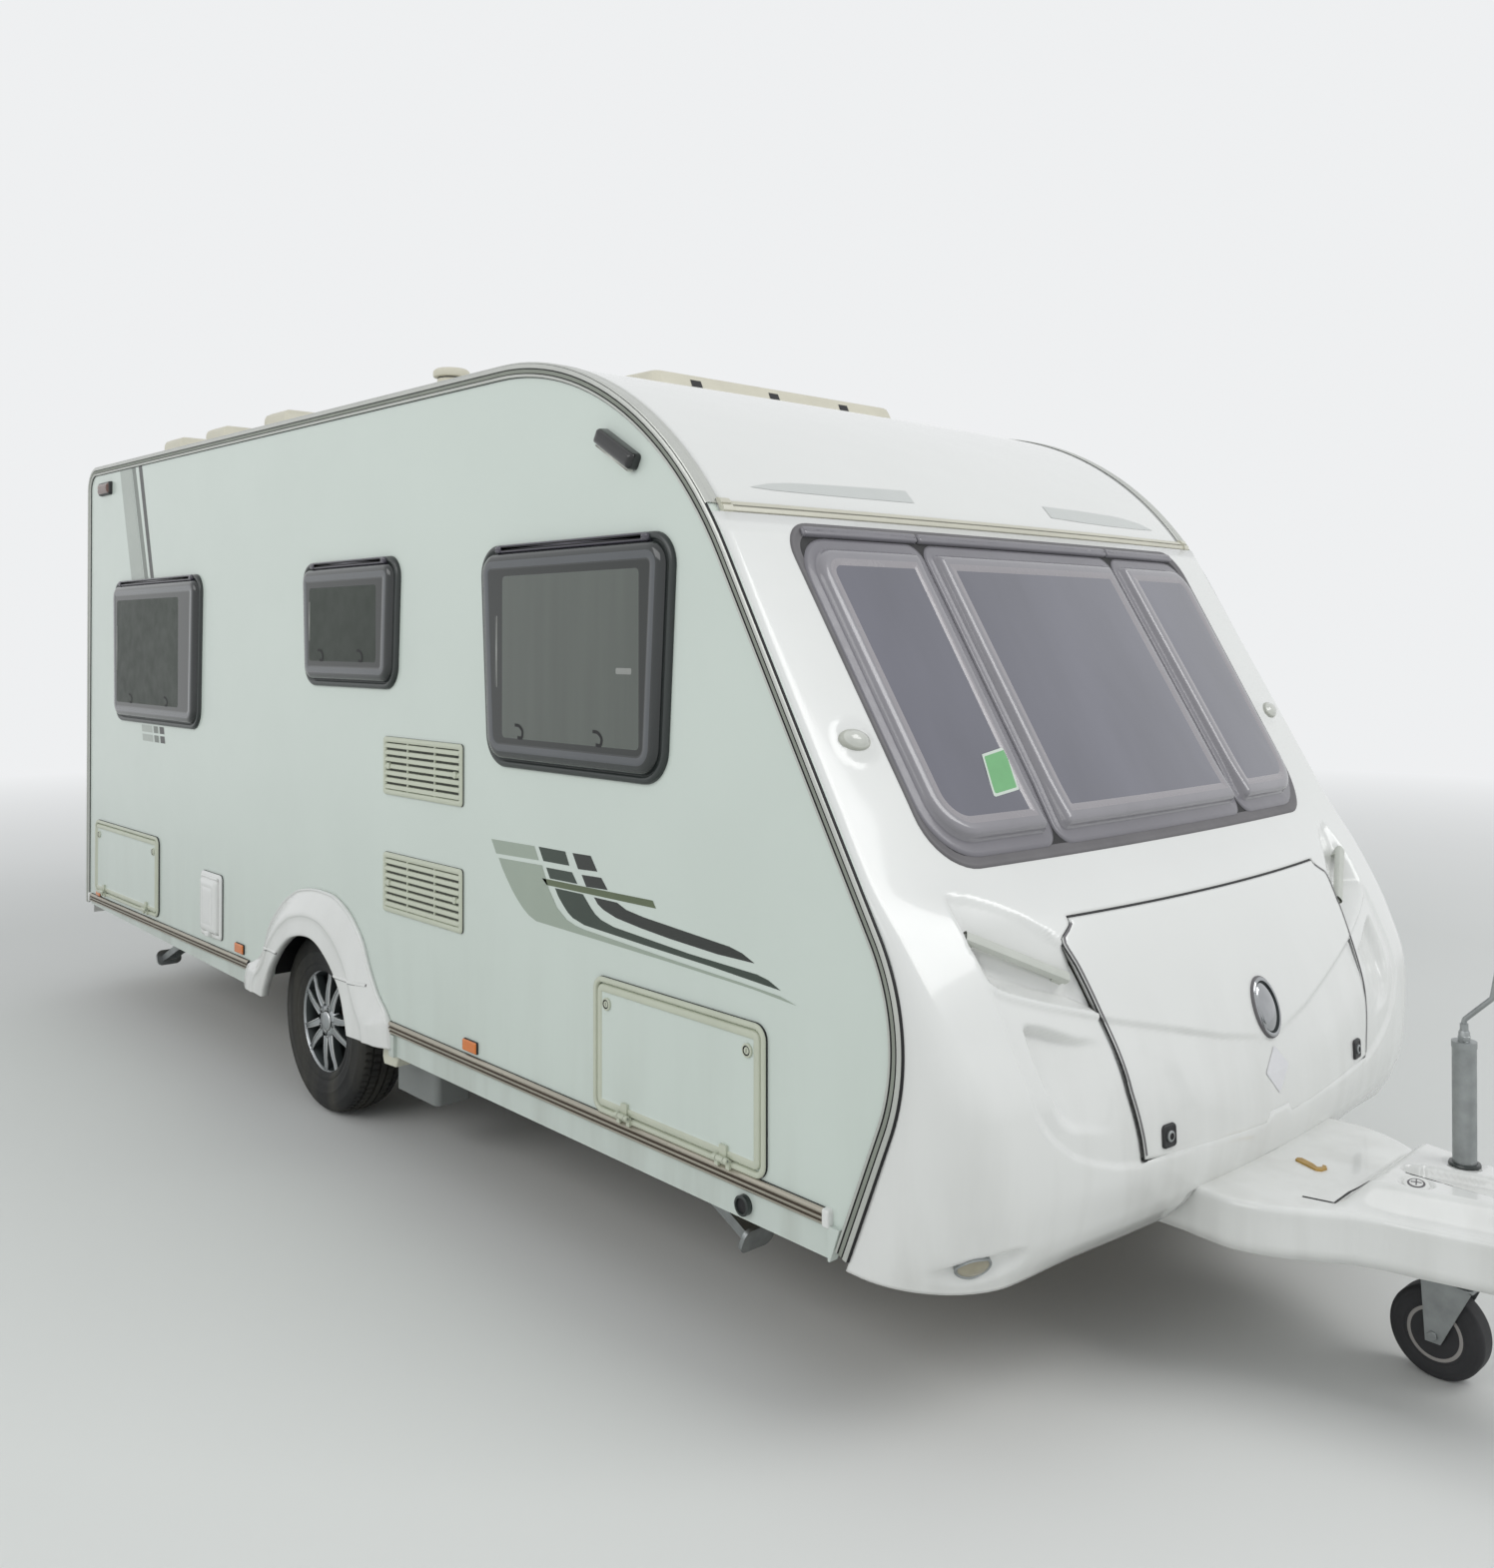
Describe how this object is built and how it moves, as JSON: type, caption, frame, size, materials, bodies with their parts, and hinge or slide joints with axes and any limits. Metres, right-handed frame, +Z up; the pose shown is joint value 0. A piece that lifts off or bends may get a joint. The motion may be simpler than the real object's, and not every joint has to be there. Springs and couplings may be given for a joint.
{
  "type": "touring caravan",
  "caption": "Single-axle touring caravan with hinged entrance door, gas locker lid, service hatches, corner steadies and a jockey wheel on its covered drawbar.",
  "frame": {"origin": "on the ground below the middle of the whole length and width", "axes": "+X forward to the coupling, +Y to the entrance door's side, +Z up"},
  "size_m": [6.724, 2.292, 2.6019],
  "materials": {
    "wall_paint": "gloss",
    "body_moulding": "gloss",
    "cream_plastic": "satin",
    "smoked_acrylic": "gloss",
    "trim_aluminium": "satin",
    "galvanised": "galvanised",
    "board": "satin",
    "black_plastic": "satin",
    "grey_plastic": "satin",
    "tyre_rubber": "matte",
    "wheel_alloy": "painted gloss",
    "drum_iron": "matte",
    "coupling_black": "satin",
    "wheel_rubber": "matte",
    "lamp_lens": "gloss",
    "red_lens": "gloss"
  },
  "bodies": {
    "caravan": {"axle_beam": "galvanised", "belly_rails": "trim_aluminium", "chassis_frame": "galvanised", "coupling_head": "coupling_black", "door_hinges": "trim_aluminium", "drawbar_cover": "cream_plastic", "edge_trims": "trim_aluminium", "floor_panel": "board", "fridge_vents": "cream_plastic", "front_panel": "body_moulding", "front_windows": "smoked_acrylic", "grab_handles": "body_moulding", "handbrake_lever": "coupling_black", "hatch_frames": "cream_plastic", "inlet_box": "cream_plastic", "jockey_tube": "galvanised", "locker_tub": "board", "marker_lamps": "lamp_lens", "rear_bumper": "body_moulding", "rear_lamps": "red_lens", "rear_panel": "body_moulding", "rear_window": "smoked_acrylic", "roof_front_cap": "body_moulding", "roof_panel": "body_moulding", "roof_vents": "cream_plastic", "rooflight": "cream_plastic", "seam_rail": "trim_aluminium", "side_skirts": "body_moulding", "side_wall_left": "wall_paint", "side_wall_right": "wall_paint", "side_windows_left": "smoked_acrylic", "side_windows_right": "smoked_acrylic", "steady_brackets": "galvanised", "suspension_arms": "galvanised", "underbody_box": "grey_plastic", "wheel_arch_spats": "body_moulding", "wheel_boxes": "black_plastic"},
    "wheel_right": {"tyre_right": "tyre_rubber", "alloy_right": "wheel_alloy", "drum_right": "drum_iron"},
    "wheel_left": {"tyre_left": "tyre_rubber", "alloy_left": "wheel_alloy", "drum_left": "drum_iron"},
    "jockey_slide": {"jockey_inner": "galvanised"},
    "jockey_castor": {"jockey_fork": "galvanised"},
    "jockey_roller": {"jockey_wheel": "wheel_rubber"},
    "lid": {"locker_lid": "body_moulding"},
    "door": {"entrance_door": "wall_paint", "door_window": "smoked_acrylic"},
    "front_hatch": {"hatch_door_front": "wall_paint"},
    "rear_hatch": {"hatch_door_rear": "wall_paint"},
    "steady_front_right": {"steady_front_right": "galvanised"},
    "steady_front_left": {"steady_front_left": "galvanised"},
    "steady_rear_right": {"steady_rear_right": "galvanised"},
    "steady_rear_left": {"steady_rear_left": "galvanised"}
  },
  "joints": [
    {"name": "wheel_right_spin", "type": "hinge", "parent": "caravan", "child": "wheel_right", "pos_m": [-0.84, -0.955, 0.325], "axis": [0, 1, 0], "continuous": true},
    {"name": "wheel_left_spin", "type": "hinge", "parent": "caravan", "child": "wheel_left", "pos_m": [-0.84, 0.955, 0.325], "axis": [0, 1, 0], "continuous": true},
    {"name": "jockey_lift", "type": "slide", "parent": "caravan", "child": "jockey_slide", "axis": [0, 0, 1], "range_m": [-0.12, 0.11]},
    {"name": "jockey_castor_swivel", "type": "hinge", "parent": "jockey_slide", "child": "jockey_castor", "pos_m": [2.618, 0.09, 0.25], "axis": [0, 0, 1], "continuous": true},
    {"name": "jockey_roll", "type": "hinge", "parent": "jockey_castor", "child": "jockey_roller", "pos_m": [2.563, 0.09, 0.105], "axis": [0, 1, 0], "continuous": true},
    {"name": "lid_hinge", "type": "hinge", "parent": "caravan", "child": "lid", "pos_m": [2.052, 0, 1.077], "axis": [0, -1, 0], "range_deg": [0, 80]},
    {"name": "door_hinge", "type": "hinge", "parent": "caravan", "child": "door", "pos_m": [0.365, 1.108, 1.349], "axis": [0, 0, -1], "range_deg": [0, 165]},
    {"name": "rear_hatch_hinge", "type": "hinge", "parent": "caravan", "child": "rear_hatch", "pos_m": [-2.735, -1.121, 0.505], "axis": [1, 0, 0], "range_deg": [0, 110]},
    {"name": "front_hatch_hinge", "type": "hinge", "parent": "caravan", "child": "front_hatch", "pos_m": [1.23, -1.121, 0.487], "axis": [1, 0, 0], "range_deg": [0, 110]},
    {"name": "steady_front_right_swing", "type": "hinge", "parent": "caravan", "child": "steady_front_right", "pos_m": [0.89, -0.88, 0.371], "axis": [0, 1, 0], "range_deg": [0, 22]},
    {"name": "steady_front_left_swing", "type": "hinge", "parent": "caravan", "child": "steady_front_left", "pos_m": [0.89, 0.88, 0.371], "axis": [0, 1, 0], "range_deg": [0, 22]},
    {"name": "steady_rear_right_swing", "type": "hinge", "parent": "caravan", "child": "steady_rear_right", "pos_m": [-2.42, -0.88, 0.371], "axis": [0, -1, 0], "range_deg": [0, 22]},
    {"name": "steady_rear_left_swing", "type": "hinge", "parent": "caravan", "child": "steady_rear_left", "pos_m": [-2.42, 0.88, 0.371], "axis": [0, -1, 0], "range_deg": [0, 22]}
  ]
}
